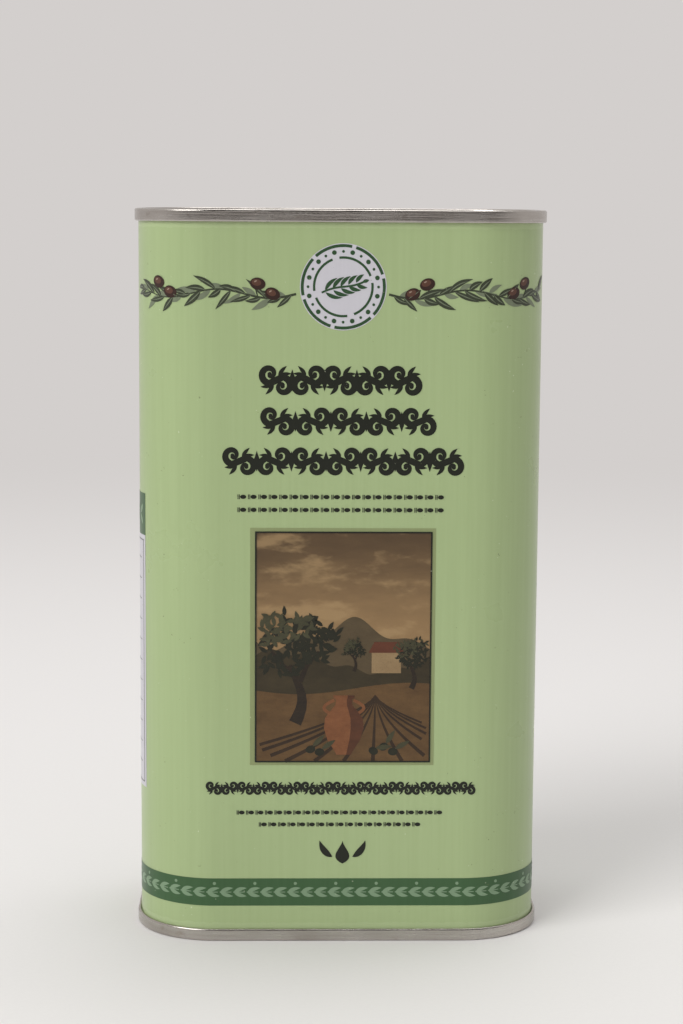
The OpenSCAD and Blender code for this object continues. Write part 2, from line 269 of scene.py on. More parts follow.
def moulded(name, colour, roughness, waxy=0.0):
    finish = Finish(name, Subsurface_Weight=waxy, Subsurface_Scale=0.002)
    pale, worn = [tint(*[min(255, c + more) for c in colour]) for more in (8, 45)]
    base = finish.blend(finish.between(finish.noise(90), 0, 1), tint(*colour), pale)
    # pale scuffs, longer upwards than round
    scuffs = finish.step(finish.noise(700, (1, 1, 0.15), 4, 0.7), 0.66, 0.75)
    finish.feed("Base Color", finish.blend(scuffs * 0.25, base, worn))
    finish.feed("Roughness", finish.between(finish.noise(160, detail=4),
                                            roughness - 0.07, roughness + 0.1))
    finish.bump(finish.noise(2400), 0.18, 0.00012)
    return finish


def foamed(name, colour, grain):
    finish = Finish(name, Roughness=0.85)
    cells = finish.node("ShaderNodeTexVoronoi", {}, {"Vector": finish.place, "Scale": grain})
    soft = finish.noise(120)
    darker = tint(*[c - 14 for c in colour])
    finish.feed("Base Color", finish.blend(finish.between(soft, 0, 1), darker, tint(*colour)))
    finish.bump(cells * 0.6 + soft, 0.4, 0.0002)
    return finish


bareTin = tinplate("bare tinplate")
greenPlastic = moulded("dark green polyethylene", (42, 72, 44), 0.42)
whitePlastic = moulded("natural polyethylene", (222, 219, 206), 0.4, 0.15)
rubber = foamed("gasket rubber", (212, 209, 198), 2600)
liner = foamed("liner foam", (232, 230, 224), 1900)
compound = foamed("seam compound", (96, 95, 92), 1400)

dress(nodes["tin_body"], bodyLacquer())
for name in ("top_end", "bottom_end"):
    dress(nodes[name], bareTin)
for name in ("top_seam_compound", "bottom_seam_compound"):
    dress(nodes[name], compound)
for name in ("spout_collar", "tamper_band", "screw_cap", "bail_left", "bail_right"):
    dress(nodes[name], greenPlastic)
dress(nodes["spout_tube"], whitePlastic)
dress(nodes["neck_gasket"], rubber)
dress(nodes["cap_liner"], liner)
print("finishes made")


# The print is drawn flat, s along the girth and z up, in millimetres, and then wrapped
# round the body.
body = {"halfWidth": 52.0, "halfDepth": 30.0, "corner": 20.0}
cornerX, cornerY = body["halfWidth"] - body["corner"], body["halfDepth"] - body["corner"]
flatFront, flatSide = 2 * cornerX, 2 * cornerY
arc = math.pi / 2 * body["corner"]
girth = 2 * (flatFront + flatSide) + 4 * arc


def onBody(along, lift):
    # a point of the outline, counted from the middle of the front
    s = (along + girth / 2) % girth - girth / 2
    side, s = (1 if s >= 0 else -1), abs(s)
    radius = body["corner"] + lift
    if s <= flatFront / 2:
        x, y = s, -body["halfDepth"] - lift
    elif s <= flatFront / 2 + arc:
        a = (s - flatFront / 2) / body["corner"]
        x, y = cornerX + radius * math.sin(a), -cornerY - radius * math.cos(a)
    elif s <= flatFront / 2 + arc + flatSide:
        x, y = body["halfWidth"] + lift, -cornerY + s - flatFront / 2 - arc
    elif s <= flatFront / 2 + 2 * arc + flatSide:
        a = (s - flatFront / 2 - arc - flatSide) / body["corner"]
        x, y = cornerX + radius * math.cos(a), cornerY + radius * math.sin(a)
    else:
        x, y = cornerX - (s - flatFront / 2 - 2 * arc - flatSide), body["halfDepth"] + lift
    return side * x, y


# millimetres; "rises" is a count and "smooth" an angle in radians
inkFilm = {"thick": 0.02, "rise": 0.0005, "rises": 70, "weld": 0.0001, "smooth": 0.6,
           "strip": 1.1, "spare": 0.01, "furthestLeft": -150}
leafShape = {"steps": 10, "tip": 0.05, "belly": 0.85, "fullness": 0.9}

# flat shapes are cut in strips where they have to follow a rounded corner
cornerCuts = []
nearCorner = (flatFront + arc) / 2
farCorner = nearCorner + arc + flatSide
for middle in (nearCorner, farCorner, farCorner - girth):
    for i in range(int(arc / inkFilm["strip"]) + 2):
        cut = middle - arc / 2 + i * inkFilm["strip"]
        cornerCuts += [round(c, 3) for c in (cut, -cut) if c > inkFilm["furthestLeft"]]
cornerCuts.sort()


class Ink:  # shapes of one colour, at one height over the lacquer
    def __init__(self, name, finish, lift):
        self.name, self.finish, self.lift = name, finish, lift
        self.points, self.faces, self.shapes = [], [], 0

    def face(self, outline, fresh=True):
        # each fresh shape lies a hair over the one before, so that none share a plane
        self.shapes += fresh
        rise = self.shapes % inkFilm["rises"] * inkFilm["rise"]
        start = len(self.points)
        pairs = zip(outline, outline[1:] + outline[:1])
        area = sum(a[0] * b[1] - b[0] * a[1] for a, b in pairs)
        self.points += [(s, rise, z) for s, z in (outline if area > 0 else outline[::-1])]
        self.faces.append(list(range(start, start + len(outline))))

    def box(self, left, low, right, high):
        self.face([(left, low), (right, low), (right, high), (left, high)])

    def border(self, left, low, right, high, width):
        self.box(left, low, right, low + width)
        self.box(left, high - width, right, high)
        self.box(left, low + width, left + width, high - width)
        self.box(right - width, low + width, right, high - width)

    def disc(self, s, z, long, short=None, turn=0.0, count=20):
        c, d = math.cos(turn), math.sin(turn)
        angles = [2 * math.pi * i / count for i in range(count)]
        ring = [(long * math.cos(a), (short or long) * math.sin(a)) for a in angles]
        self.face([(s + c * u - d * v, z + d * u + c * v) for u, v in ring])

    def stroke(self, path, widths):
        # a strip of quads along a path
        edges = []
        for i, (s, z) in enumerate(path):
            before, after = path[max(i - 1, 0)], path[min(i + 1, len(path) - 1)]
            ds, dz = after[0] - before[0], after[1] - before[1]
            size = math.hypot(ds, dz) or 1
            w = widths[i] / 2
            edges.append(((s - dz / size * w, z + ds / size * w),
                          (s + dz / size * w, z - ds / size * w)))
        for i, (a, b) in enumerate(zip(edges, edges[1:])):
            self.face([a[1], b[1], b[0], a[0]], i == 0)

    def arcBand(self, s, z, radius, width, first, last, steps=20):
        angles = [first + (last - first) * i / steps for i in range(steps + 1)]
        path = [(s + radius * math.cos(a), z + radius * math.sin(a)) for a in angles]
        self.stroke(path, [width] * len(path))

    def leaf(self, s, z, length, width, turn, curl=0.0):
        path, widths = [], []
        for i in range(leafShape["steps"] + 1):
            t = i / leafShape["steps"]
            a = turn + curl * t
            path.append((s + length * t * math.cos(a), z + length * t * math.sin(a)))
            bulge = math.sin(math.pi * t ** leafShape["belly"]) ** leafShape["fullness"]
            widths.append(max(leafShape["tip"], width * bulge))
        self.stroke(path, widths)

    def repeat(self, shift):
        # the same shapes once more, further round the body
        count = len(self.points)
        self.points += [(s + shift, rise, z) for s, rise, z in self.points]
        self.faces += [[i + count for i in face] for face in self.faces]

    def cutsNeeded(self):
        spans, spare = [], inkFilm["spare"]
        for face in self.faces:
            along = [self.points[i][0] for i in face]
            spans.append((min(along), max(along)))
        return [cut for cut in cornerCuts
                if any(low < cut - spare and cut + spare < high for low, high in spans)]

    def make(self):
        mesh = bpy.data.meshes.new(self.name)
        mesh.from_pydata([Vector(point) * mm for point in self.points], [], self.faces)
        piece = bpy.data.objects.new(self.name, mesh)
        bpy.context.collection.objects.link(piece)
        bpy.ops.object.select_all(action="DESELECT")
        piece.select_set(True)
        bpy.context.view_layer.objects.active = piece
        bpy.ops.object.mode_set(mode="EDIT")
        bpy.ops.mesh.select_all(action="SELECT")
        bpy.ops.mesh.remove_doubles(threshold=inkFilm["weld"] * mm)
        for cut in self.cutsNeeded():
            bpy.ops.mesh.select_all(action="SELECT")
            bpy.ops.mesh.bisect(plane_co=(cut * mm, 0, 0), plane_no=(1, 0, 0))
        bpy.ops.object.mode_set(mode="OBJECT")
        for vertex in mesh.vertices:
            x, y = onBody(vertex.co.x / mm, self.lift + vertex.co.y / mm)
            vertex.co.x, vertex.co.y = x * mm, y * mm
        bpy.ops.object.modifier_add(type="SOLIDIFY")
        film = piece.modifiers[-1]
        film.thickness, film.offset = inkFilm["thick"] * mm, -1
        bpy.ops.object.modifier_apply(modifier=film.name)
        bpy.ops.object.shade_smooth_by_angle(angle=inkFilm["smooth"])
        dress(piece, self.finish)
        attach(piece, "root")


# name, colour, roughness and strength of the mottling
inkLooks = {"dark": ("ink nearly black", (27, 30, 20), 0.34, 0.5),
            "white": ("ink white", (198, 196, 202), 0.32, 0.6),
            "ring": ("ink dark green", (46, 76, 46), 0.32, 0.7),
            "leaf": ("ink leaf", (56, 62, 46), 0.32, 1.6),
            "paleLeaf": ("ink pale leaf", (112, 121, 98), 0.32, 1.6),
            "olive": ("ink olive", (52, 33, 27), 0.3, 1.4),
            "oliveSheen": ("ink olive sheen", (88, 58, 46), 0.3, 1.4),
            "glint": ("ink glint", (150, 128, 112), 0.3, 1.0),
            "band": ("ink band", (58, 90, 55), 0.32, 1.0),
            "bandPale": ("ink band pattern", (122, 147, 117), 0.32, 1.0),
            "frame": ("ink frame", (138, 148, 103), 0.32, 1.0)}
inks = {key: printed(*look) for key, look in inkLooks.items()}
prints = {}


def layer(name, finish, lift):
    prints[name] = Ink(name, finish, lift)
    return prints[name]


# white disc with two broken rings, beads between them and a sprig in the middle
roundel = {"s": 0.16, "z": 168.7, "disc": 10.85, "tilt": math.radians(15),
           "rings": ((10.25, 0.75, 6, 0.05), (7.3, 0.6, 4, 0.12)),  # radius, width, arcs, gap
           "beads": 24, "beadRing": 8.8, "small": 0.36, "large": 0.6,
           "stem": 0.5, "stemFrom": -5.6, "stemStep": 1.1, "stemPoints": 11, "sway": 0.3,
           "leaves": 5, "leafFrom": -4.6, "leafStep": 2.0, "leafLong": 4.4, "shorter": 0.4,
           "leafWide": 1.0, "leafTurn": 1.0, "leafCurl": 0.45}


def drawRoundel(look):
    middle = look["s"], look["z"]
    layer("print_roundel_disc", inks["white"], 0.05).disc(*middle, look["disc"], count=64)
    green = layer("print_roundel_rings", inks["ring"], 0.08)
    for radius, width, arcs, gap in look["rings"]:
        for i in range(arcs):
            first = 2 * math.pi * i / arcs + gap + look["tilt"]
            last = first + 2 * math.pi / arcs - 2 * gap
            green.arcBand(*middle, radius, width, first, last)
    for i in range(look["beads"]):
        a = 2 * math.pi * i / look["beads"] + look["tilt"]
        s = look["s"] + look["beadRing"] * math.cos(a)
        z = look["z"] + look["beadRing"] * math.sin(a)
        green.disc(s, z, look["small"] if i % 2 else look["large"], count=10)
    ca, sa = math.cos(look["tilt"]), math.sin(look["tilt"])

    def tilted(u, v):
        return look["s"] + ca * u - sa * v, look["z"] + sa * u + ca * v

    stem = [tilted(look["stemFrom"] + look["stemStep"] * i, look["sway"] * math.sin(i * 0.6))
            for i in range(look["stemPoints"])]
    green.stroke(stem, [look["stem"]] * len(stem))
    for i in range(look["leaves"]):
        for side in (-1, 1):
            s, z = tilted(look["leafFrom"] + look["leafStep"] * i, 0.2 * side)
            green.leaf(s, z, look["leafLong"] - look["shorter"] * i, look["leafWide"],
                       look["tilt"] + side * look["leafTurn"], -look["leafCurl"] * side)
    green.leaf(*tilted(5.0, 0), 1.7, 0.9, look["tilt"])  # at the sprig's tip


drawRoundel(roundel)

# olive branches, the same on both sides of the roundel
garland = {"z": 166.9, "start": 11.6, "wave": 1.1, "waveLong": 26.3, "stem": 0.6,
           "stemStep": 1.06, "stemPoints": 42, "thinning": 0.01, "stalk": 0.35,
           "leaves": 34, "leafGap": 1.26, "leafLong": 6.6, "leafWide": 1.45,
           "longVaries": (0.55, 0.5), "wideVaries": (0.8, 0.35), "turnVaries": (0.35, 0.6),
           "curl": 0.4, "ribLong": 0.85, "ribWide": 0.16,
           "olives": ((17.5, 166.9), (21.2, 169.4), (43.8, 167.2), (47.6, 169.6)),
           "oliveLong": 1.95, "oliveShort": 1.5, "sheenLong": 0.62, "sheenShort": 0.55}


def vary(least, more):
    return least + more * random.random()


def stemHeight(s):
    return garland["z"] + garland["wave"] * math.sin(s * 2 * math.pi / garland["waveLong"] + 0.4)


def drawGarland(look):
    leaves = layer("print_leaves", inks["leaf"], 0.085)
    paleLeaves = layer("print_pale_leaves", inks["paleLeaf"], 0.05)
    stems = layer("print_stems", inks["leaf"], 0.06)
    olives = layer("print_olives", inks["olive"], 0.13)
    sheen = layer("print_olive_sheen", inks["oliveSheen"], 0.15)
    glints = layer("print_olive_glints", inks["glint"], 0.17)
    ribs = layer("print_leaf_ribs", inks["paleLeaf"], 0.12)
    for side in (-1, 1):
        along = [look["start"] + i * look["stemStep"] for i in range(look["stemPoints"])]
        stems.stroke([(side * s, stemHeight(s)) for s in along],
                     [look["stem"] - look["thinning"] * i for i in range(len(along))])
        for i in range(look["leaves"]):
            s = look["start"] + 1.2 + i * look["leafGap"]
            z = stemHeight(s)
            up = 1 if i % 2 else -1
            length = look["leafLong"] * vary(*look["longVaries"])
            wide = look["leafWide"] * vary(*look["wideVaries"])
            turn = up * vary(*look["turnVaries"])
            turn = turn if side > 0 else math.pi - turn
            curl = -look["curl"] * up * side * random.random()
            if i % 3 == 1:
                paleLeaves.leaf(side * s, z, length, wide, turn, curl)
            else:
                leaves.leaf(side * s, z, length, wide, turn, curl)
                ribs.leaf(side * s, z, length * look["ribLong"], wide * look["ribWide"],
                          turn, curl)
        for s, z in look["olives"]:
            foot = stemHeight(s)
            stems.stroke([(side * s, foot), (side * (s + 0.4), (z + foot) / 2), (side * s, z)],
                         [look["stalk"]] * 3)
            turn = side * random.uniform(0.1, 0.6)
            long, short = look["oliveLong"], look["oliveShort"]
            olives.disc(side * s, z, long, short, turn, 28)
            sheen.disc(side * s - 0.3, z + 0.3, long * look["sheenLong"],
                       short * look["sheenShort"], turn)
            glints.disc(side * s - 0.55, z + 0.6, 0.4, 0.18, 0.5, 12)


drawGarland(garland)

# rows of paired scrolls, each row as left, right, low and high; a scroll's sizes are
# parts of its row's height
scrollwork = {"rows": ((-20.6, 19.9, 140.7, 149.9), (-20.6, 24.0, 130.6, 139.3),
                       (-30.1, 31.0, 120.5, 129.2), (-34.3, 35.0, 38.2, 42.5)),
              "pitch": 0.95, "radius": 0.25, "bold": 0.17, "apart": 0.2, "turns": 1.15,
              "points": 26, "closing": 0.8, "ends": 0.28, "swell": 0.85, "eye": 0.36,
              "leafLong": 0.36, "leafWide": 0.11, "leafTurns": (0.35, 1.05), "leafCurl": 0.3,
              "lozengeHigh": 0.3, "lozengeWide": 0.1}


def spiral(s, z, radius, start, hand):
    path, count = [], scrollwork["points"]
    for i in range(count + 1):
        r = radius * (1 - scrollwork["closing"] * i / count)
        a = start + hand * scrollwork["turns"] * 2 * math.pi * i / count
        path.append((s + r * math.cos(a), z + r * math.sin(a)))
    return path


def scrollMotif(target, s, low, high, width, flip):
    # an S of two spirals, with small leaves in the two empty corners
    tall = high - low
    r, bold = tall * scrollwork["radius"], tall * scrollwork["bold"]
    offset = width * scrollwork["apart"] * flip
    upper, lower = high - r - bold / 2, low + r + bold / 2
    path = (spiral(s + offset, upper, r, -math.pi / 2, flip)[::-1]
            + spiral(s - offset, lower, r, math.pi / 2, flip))
    last = len(path) - 1
    swelling = [scrollwork["swell"] * math.sin(math.pi * i / last) ** 1.2
                for i in range(len(path))]
    target.stroke(path, [bold * (scrollwork["ends"] + more) for more in swelling])
    target.disc(s + offset, upper, bold * scrollwork["eye"], count=12)
    target.disc(s - offset, lower, bold * scrollwork["eye"], count=12)
    for side in (-1, 1):
        for turn in scrollwork["leafTurns"]:
            target.leaf(s - side * flip * width * 0.08, (low + high) / 2 + side * tall * 0.1,
                        tall * scrollwork["leafLong"], tall * scrollwork["leafWide"],
                        math.pi / 2 * side + flip * turn, scrollwork["leafCurl"] * flip)


def drawScrolls(look):
    scrolls = layer("print_scrollwork", inks["dark"], 0.06)
    for left, right, low, high in look["rows"]:
        tall, mid = high - low, (low + high) / 2
        count = round((right - left) / (tall * look["pitch"]))
        pitch = (right - left) / count
        h, w = tall * look["lozengeHigh"], tall * look["lozengeWide"]
        for i in range(count):
            s = left + (i + 0.5) * pitch
            scrollMotif(scrolls, s, low, high, pitch, 1 if i % 2 else -1)
            if i:  # a lozenge between two scrolls
                s -= pitch / 2
                scrolls.face([(s, mid - h), (s + w, mid), (s, mid + h), (s - w, mid)])


drawScrolls(scrollwork)

# bead-and-reel rules as left, right, height and size, and a drop between two leaves
beadRules = {"rows": ((-26.1, 26.5, 115.8, 1.5), (-26.1, 26.5, 112.5, 1.5),
                      (-26.3, 27.0, 33.95, 1.4), (-20.6, 21.4, 30.8, 1.4)),
             "pitch": 1.75, "beadLong": 0.52, "beadShort": 0.36, "reels": (-0.5, -0.36),
             "reelHalf": 0.1, "reelTall": 0.4}
drop = {"s": 0.85, "z": 23.4, "tall": 6.0, "wide": 3.6, "steps": 14, "tip": 0.05,
        "leafLong": 5.4, "leafWide": 1.7, "apart": 2.6, "lower": 1.2, "turn": 1.15,
        "curl": 0.5}


def drawRulesAndDrop(look, dropLook):
    rules = layer("print_bead_rules", inks["dark"], 0.06)
    for left, right, z, tall in look["rows"]:
        count = round((right - left) / (tall * look["pitch"]))
        pitch = (right - left) / count
        half, reach = look["reelHalf"], tall * look["reelTall"]
        for i in range(count):
            s = left + (i + 0.5) * pitch
            rules.disc(s, z, tall * look["beadLong"], tall * look["beadShort"], 0, 14)
            for k in look["reels"]:
                rules.box(s + k * pitch - half, z - reach, s + k * pitch + half, z + reach)
    s, z = dropLook["s"], dropLook["z"]
    down = [i / dropLook["steps"] for i in range(dropLook["steps"] + 1)]
    wide = [dropLook["wide"] * math.sin(math.pi * t ** 1.7) ** 0.8 for t in down]
    rules.stroke([(s, z + dropLook["tall"] * (0.5 - t)) for t in down],
                 [max(dropLook["tip"], w) for w in wide])
    for side in (-1, 1):
        rules.leaf(s + side * dropLook["apart"], z - dropLook["lower"], dropLook["leafLong"],
                   dropLook["leafWide"], math.pi / 2 - side * dropLook["turn"],
                   side * dropLook["curl"])


drawRulesAndDrop(beadRules, drop)

# the framed landscape, all of whose paints but the sky's are darkened by the shade
picture = {"left": -21.4, "right": 22.9, "low": 47.5, "high": 106.7, "shade": 0.88,
           "frame": (-23.0, 46.45, 24.1, 107.9, 1.2), "line": (-21.75, 47.2, 23.2, 107.0, 0.38),
           "horizon": (9.0, 64.8), "furrowGap": 7.5}
barn = {"walls": (8.0, 70.5, 15.5, 76.0),
        "roof": [(7.2, 75.8), (16.3, 75.8), (14.8, 78.6), (8.7, 78.6)]}
trees = {"places": ((-11.5, 57.5, 30.0), (18.2, 66.5, 13.5), (3.5, 71.0, 8.5)),  # s, z, height
         "lean": 0.06, "trunk": 0.11, "trunkTall": 0.5, "taper": 0.08, "fork": 0.36,
         "branch": (0.05, 0.035, 0.02), "leaves": 210, "crown": 0.7, "crownWide": 0.32,
         "crownTall": 0.25, "leafLong": 0.085, "leafWide": 0.035}
jar = {"s": 1.0, "low": 49.2, "tall": 15.5, "wide": 10.2, "handle": 0.8, "shadeFrom": 0.35,
       "profile": ((0, 0.36), (0.05, 0.44), (0.25, 0.82), (0.45, 1.0), (0.62, 0.94),
                   (0.76, 0.62), (0.84, 0.42), (0.93, 0.40), (0.96, 0.52), (1.0, 0.54))}
looseOlives = ((-7.5, 50.6, 0.3), (-5.2, 49.9, 0.1), (8.6, 50.2, -0.4), (11.2, 51.3, 0.5),
               (13.6, 50.0, 0))


def painted(name, low, high, scale=90):
    # brushed paint: two colours in short strokes
    finish = Finish(name, **inkShine)
    low, high = [tint(*[c * picture["shade"] for c in colour]) for colour in (low, high)]
    brush = finish.noise(scale, (1, 1, 2.6), 5, 0.65)
    dabs = finish.noise(scale * 5, (1, 1, 1.6), 3, 0.6)
    base = finish.blend(finish.between(brush * 0.65 + dabs * 0.35, 0, 1), low, high)
    grit = finish.noise(2600, detail=1) > 0.66
    finish.feed("Base Color", finish.blend(grit * 0.18, base, tint(60, 45, 30)))
    glossOf(finish, 0.31)
    return finish


def skyPaint():
    finish = Finish("paint sky", **inkShine)
    z = finish.node("ShaderNodeSeparateXYZ", {}, {0: finish.place}, out=2)
    brush = finish.noise(70, (1, 1, 3), 5, 0.6)
    height = finish.step(z + brush * 0.016, 0.086, 0.118)
    sky = finish.blend(height, tint(142, 114, 78), tint(80, 62, 42))
    clouds = finish.step(finish.noise(75, (1, 1, 2.4), 4, 0.55), 0.5, 0.68)
    finish.feed("Base Color", finish.blend(clouds * 0.6, sky, tint(166, 138, 98)))
    glossOf(finish, 0.31)
    return finish


def land(name, finish, lift, foot, crest, steps=60):
    shape = layer(name, finish, lift)
    wide = picture["right"] - picture["left"]
    along = [picture["left"] + wide * i / steps for i in range(steps + 1)]
    for a, b in zip(along, along[1:]):
        shape.face([(a, foot), (b, foot), (b, crest(b)), (a, crest(a))], False)


def drawLandscape():
    layer("print_frame", inks["frame"], 0.05).border(*picture["frame"])
    layer("print_frame_line", inks["dark"], 0.22).border(*picture["line"])
    sky = layer("print_picture_sky", skyPaint(), 0.05)
    sky.box(picture["left"], picture["low"], picture["right"], picture["high"])
    land("print_far_hills", painted("paint far hills", (84, 70, 48), (104, 88, 62)), 0.065, 60,
         lambda s: 80.5 + 3.2 * math.sin(s * 0.17 + 1) + 1.4 * math.sin(s * 0.43))
    land("print_near_hills", painted("paint near hills", (50, 43, 27), (74, 63, 40)), 0.08, 56,
         lambda s: 73.5 + 2.6 * math.sin(s * 0.13 + 3.6) + 0.8 * math.sin(s * 0.6))
    land("print_field", painted("paint field", (84, 60, 34), (120, 90, 54)), 0.095,
         picture["low"], lambda s: 66.5 + 1.5 * math.sin(s * 0.11 - 0.4))
    furrows = layer("print_furrows", painted("paint furrows", (46, 33, 21), (68, 50, 32)), 0.11)
    farS, farZ = picture["horizon"]
    for i in range(-5, 8):
        nearS = 1.0 + i * picture["furrowGap"]
        path = [(farS + (nearS - farS) * (t / 12) ** 1.5, farZ - (farZ - picture["low"]) * t / 12)
                for t in range(13)]
        path = [p for p in path if picture["left"] + 0.5 < p[0] < picture["right"] - 0.5]
        if len(path) > 2:
            furrows.stroke(path, [0.2 + 0.07 * k for k in range(len(path))])
    plaster = painted("paint plaster", (148, 120, 84), (174, 148, 108))
    layer("print_barn_walls", plaster, 0.11).box(*barn["walls"])
    tiles = painted("paint roof", (92, 48, 32), (114, 64, 42))
    layer("print_barn_roof", tiles, 0.125).face(barn["roof"])


def drawTree(trunks, foliage, foliagePale, s, z, tall):
    lean = trees["lean"] * tall
    trunks.stroke([(s + lean * math.sin(t * 0.5), z + tall * trees["trunkTall"] * t / 8)
                   for t in range(9)],
                  [trees["trunk"] * tall * (1 - trees["taper"] * t) for t in range(9)])
    for side in (-1, 1):
        trunks.stroke([(s + lean * 0.7, z + tall * trees["fork"]),
                       (s + side * tall * 0.1, z + tall * 0.5),
                       (s + side * tall * 0.2, z + tall * 0.62)],
                      [wide * tall for wide in trees["branch"]])
    for _ in range(trees["leaves"]):
        a, r = random.uniform(0, 2 * math.pi), math.sqrt(random.random())
        lobe = 1 + 0.18 * math.sin(3 * a + s) + 0.1 * math.sin(7 * a)
        leafS = s + trees["crownWide"] * tall * r * lobe * math.cos(a)
        leafZ = z + trees["crown"] * tall + trees["crownTall"] * tall * r * lobe * math.sin(a)
        if not picture["left"] + 1.2 < leafS < picture["right"] - 1.2:
            continue
        lit = math.sin(a - 0.7) * r > random.uniform(-0.1, 0.9)
        target = foliagePale if lit else foliage
        target.leaf(leafS, leafZ, trees["leafLong"] * tall, trees["leafWide"] * tall,
                    random.uniform(0, 6.28))


def drawForeground():
    trunks = layer("print_trunks", painted("paint bark", (34, 26, 18), (56, 44, 30), 200), 0.125)
    dark = painted("paint dark foliage", (30, 31, 20), (48, 48, 31), 160)
    foliage = layer("print_foliage_dark", dark, 0.14)
    pale = painted("paint pale foliage", (60, 59, 40), (86, 84, 58), 160)
    foliagePale = layer("print_foliage_pale", pale, 0.175)
    for s, z, tall in trees["places"]:
        drawTree(trunks, foliage, foliagePale, s, z, tall)
    clay = layer("print_jar", painted("paint terracotta", (112, 66, 38), (152, 98, 60), 120),
                 0.125)
    shaded = layer("print_jar_shade", painted("paint jar shade", (74, 42, 26), (104, 62, 38), 120),
                   0.14)
    for (t0, w0), (t1, w1) in zip(jar["profile"], jar["profile"][1:]):
        z0, z1 = jar["low"] + jar["tall"] * t0, jar["low"] + jar["tall"] * t1
        h0, h1 = w0 * jar["wide"] / 2, w1 * jar["wide"] / 2
        for target, start in ((clay, -1), (shaded, jar["shadeFrom"])):
            target.face([(jar["s"] + start * h0, z0), (jar["s"] + h0, z0),
                         (jar["s"] + h1, z1), (jar["s"] + start * h1, z1)], False)
    for side in (-1, 1):
        handle = [(jar["s"] + side * jar["wide"] * (0.24 + 0.26 * math.sin(math.pi * t / 10)),
                   jar["low"] + jar["tall"] * (0.92 - 0.26 * t / 10)) for t in range(11)]
        clay.stroke(handle, [jar["handle"]] * len(handle))
    for s, z, turn in looseOlives:
        foliage.disc(s, z, 1.25, 1.0, turn, 18)
        foliagePale.leaf(s + 0.6, z + 0.8, 4.2, 1.3, 0.5 + turn)


drawLandscape()
drawForeground()

# a green header over a white panel with thin rules, in the middle of the left narrow side
sidePanel = {"middle": -(flatFront / 2 + arc + flatSide / 2), "half": 18.7, "low": 37.6,
             "high": 104.2, "headTop": 115.1, "inset": 1.2, "line": 0.25,
             "rules": 11, "firstRule": 44.0, "ruleGap": 5.4, "rule": 0.16, "ruleInset": 3,
             "leaves": 9, "leafInset": 3.6, "leafLong": 3.4, "leafWide": 1.3, "leafTurn": 0.9}


def drawSidePanel(look):
    left, right = look["middle"] - look["half"], look["middle"] + look["half"]
    low, high = look["low"], look["high"]
    layer("print_side_panel", inks["white"], 0.05).box(left, low, right, high)
    layer("print_side_header", inks["band"], 0.05).box(left, high, right, look["headTop"])
    lines = layer("print_side_lines", inks["dark"], 0.08)
    lines.border(left + look["inset"], low + look["inset"], right - look["inset"],
                 high - look["inset"], look["line"])
    for i in range(look["rules"]):
        z = look["firstRule"] + i * look["ruleGap"]
        lines.box(left + look["ruleInset"], z, right - look["ruleInset"], z + look["rule"])
    leaves = layer("print_side_leaves", inks["bandPale"], 0.08)
    row = 2 * look["half"] - 2 * look["leafInset"]
    for i in range(look["leaves"]):
        s = left + look["leafInset"] + i * row / (look["leaves"] - 1)
        for up in (-1, 1):
            leaves.leaf(s, (high + look["headTop"]) / 2, look["leafLong"], look["leafWide"],
                        up * look["leafTurn"])


drawSidePanel(sidePanel)

# the green band round the foot with its laurel, open along the weld
footBand = {"low": 9.21, "high": 16.46, "open": 4.0, "pitch": 3.5, "leafLong": 3.4,
            "leafWide": 1.0, "leafTurn": 0.62, "leafCurl": 0.3, "stem": [0.34, 0.2],
            "berry": 0.42}


def drawFootBand(look):
    band = layer("print_foot_band", inks["band"], 0.05)
    laurel = layer("print_foot_laurel", inks["bandPale"], 0.08)
    start = -sidePanel["middle"] + look["open"]
    length = girth - 2 * look["open"]
    low, high = look["low"], look["high"]
    columns = round(length)  # about a millimetre each
    for i in range(columns):
        a, b = [start + length * k / columns - girth for k in (i, i + 1)]
        band.face([(a, low), (b, low), (b, high), (a, high)], False)
    count, middle = round(length / look["pitch"]), (low + high) / 2
    for i in range(count):
        s = start - girth + length * (i + 0.3) / count
        for up in (-1, 1):
            laurel.leaf(s, middle, look["leafLong"], look["leafWide"],
                        up * look["leafTurn"], -look["leafCurl"] * up)
        laurel.stroke([(s - 0.2, middle), (s + look["pitch"] * 0.8, middle)], look["stem"])
        if i % 3 == 1:  # a berry at every third pair
            laurel.disc(s + 1.9, middle + 2.3, look["berry"], count=10)


drawFootBand(footBand)
print("print drawn flat")

for name, shapes in prints.items():
    if not name.startswith(("print_side", "print_foot")):
        shapes.repeat(girth / 2)  # the back repeats the front
    shapes.make()
print("print laid on the body:", len(prints), "layers")

# screw threads of the neck and the cap, two starts each, in millimetres
thread = {"x": 25.0, "lead": 6.0, "turns": 0.8, "neckRadius": 12.3, "neckTop": 182.2,
          "capRadius": 13.25, "capTop": 180.75, "crest": 0.42, "steps": 60,
          "tip": 0.25, "taper": 6}


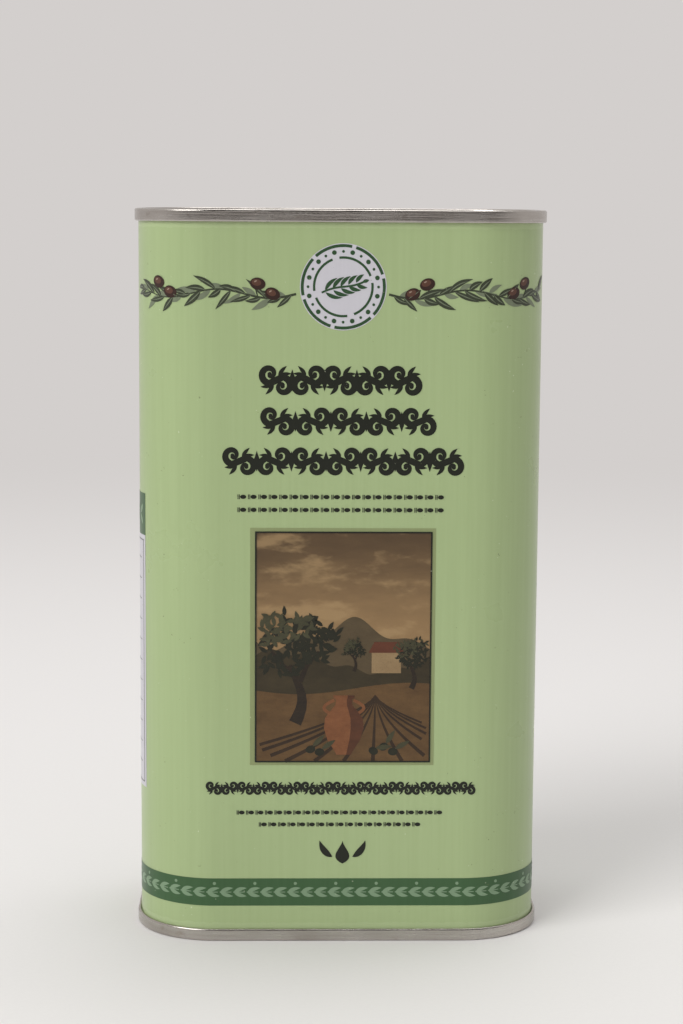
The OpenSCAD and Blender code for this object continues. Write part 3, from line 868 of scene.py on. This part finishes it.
def makeThread(name, radius, top, finish, ownBody):
    steps, made = thread["steps"], []
    for start in (0, math.pi):
        curve = bpy.data.curves.new(name, "CURVE")
        curve.dimensions, curve.bevel_depth = "3D", thread["crest"] * mm
        curve.bevel_resolution, curve.use_fill_caps = 2, True
        line = curve.splines.new("POLY")
        line.points.add(steps)
        for i, point in enumerate(line.points):
            t = i / steps
            a = start + t * thread["turns"] * 2 * math.pi
            x, y = thread["x"] + radius * math.cos(a), radius * math.sin(a)
            z = top - thread["lead"] * thread["turns"] * (1 - t)
            point.co = (x * mm, y * mm, z * mm, 1)
            point.radius = min(1, thread["tip"] + thread["taper"] * min(t, 1 - t))
        piece = bpy.data.objects.new(name, curve)
        bpy.context.collection.objects.link(piece)
        made.append(piece)
    bpy.ops.object.select_all(action="DESELECT")
    for piece in made:
        piece.select_set(True)
    bpy.context.view_layer.objects.active = made[0]
    bpy.ops.object.convert(target="MESH")
    bpy.ops.object.join()
    piece = bpy.context.view_layer.objects.active
    piece.name = name
    bpy.ops.object.shade_smooth()
    dress(piece, finish)
    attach(piece, ownBody)


makeThread("neck_thread", thread["neckRadius"], thread["neckTop"], whitePlastic,
           "spout")
makeThread("cap_thread", thread["capRadius"], thread["capTop"], greenPlastic,
           "cap")
print("threads cut")

# metres from here on
stageLook = {"floor": (228, 225, 223), "across": 60, "fadeFrom": 0.15, "fadeTo": 1.1,
             "air": (211, 207, 205), "room": (42, 36, 30), "light": 0.48}
lamps = {"soft key": {"place": (-3.3, -3.0, 3.6), "size": 3.2, "watts": 190},
         "soft top": {"place": (0.5, 0.8, 4.6), "size": 2.6, "watts": 72}}
lampAim = (0, 0, 0.1)


def seenRays(board):  # 1 for whatever shows the background
    rays = [board.node("ShaderNodeLightPath", out=kind)
            for kind in ("Is Camera Ray", "Is Glossy Ray", "Is Transmission Ray")]
    return rays[0].larger(rays[1]).larger(rays[2])


def makeStage(look):
    bpy.ops.object.select_all(action="DESELECT")
    bpy.ops.mesh.primitive_plane_add(size=1)
    floor = bpy.context.object
    floor.name = "floor"
    floor.scale = (look["across"], look["across"], 1)
    bpy.ops.object.transform_apply(scale=True)
    finish = Finish("pale paper", Roughness=0.75)
    darker = tint(*[c - 2 for c in look["floor"]])
    grain = finish.between(finish.noise(900), 0, 1)
    finish.feed("Base Color", finish.blend(grain, darker, tint(*look["floor"])))
    # far off, whatever sees the background sees the air's colour
    away = finish.node("ShaderNodeVectorMath", {"operation": "LENGTH"}, {0: finish.place},
                       out="Value")
    fade = finish.step(away, look["fadeFrom"], look["fadeTo"]) * seenRays(finish)
    air = finish.node("ShaderNodeEmission", {}, {"Color": tint(*look["air"])})
    finish.show(finish.mix(fade, finish.surface, air))
    dress(floor, finish)


def makeAir(look):
    world = bpy.data.worlds.new("studio")
    bpy.context.scene.world = world
    board = Board(world, "ShaderNodeOutputWorld")
    towards = board.node("ShaderNodeTexCoord", out="Generated")
    y = board.node("ShaderNodeSeparateXYZ", {}, {0: towards}, out=1)
    # in front of the tin lies a darker room that only reflections see
    front = board.node("ShaderNodeMapRange", {}, {"Value": y, "From Min": -0.15,
                                                  "From Max": -0.8})
    glossy = board.node("ShaderNodeLightPath", out="Is Glossy Ray")
    colour = board.blend(front * glossy, tint(*look["air"]), tint(*look["room"]))
    light = board.node("ShaderNodeBackground", {}, {"Color": (1, 1, 1, 1),
                                                    "Strength": look["light"]})
    shown = board.node("ShaderNodeBackground", {}, {"Color": colour})
    board.show(board.mix(seenRays(board), light, shown))


def makeLamp(name, look):
    data = bpy.data.lights.new(name, "AREA")
    data.shape, data.size, data.energy = "SQUARE", look["size"], look["watts"]
    lamp = bpy.data.objects.new(name, data)
    bpy.context.collection.objects.link(lamp)
    lamp.location = look["place"]
    aim = Vector(lampAim) - Vector(look["place"])
    lamp.rotation_euler = aim.to_track_quat("-Z", "Y").to_euler()


makeStage(stageLook)
makeAir(stageLook)
for name, look in lamps.items():
    makeLamp(name, look)
bpy.context.scene.view_settings.view_transform = "Standard"
print("stage lit")
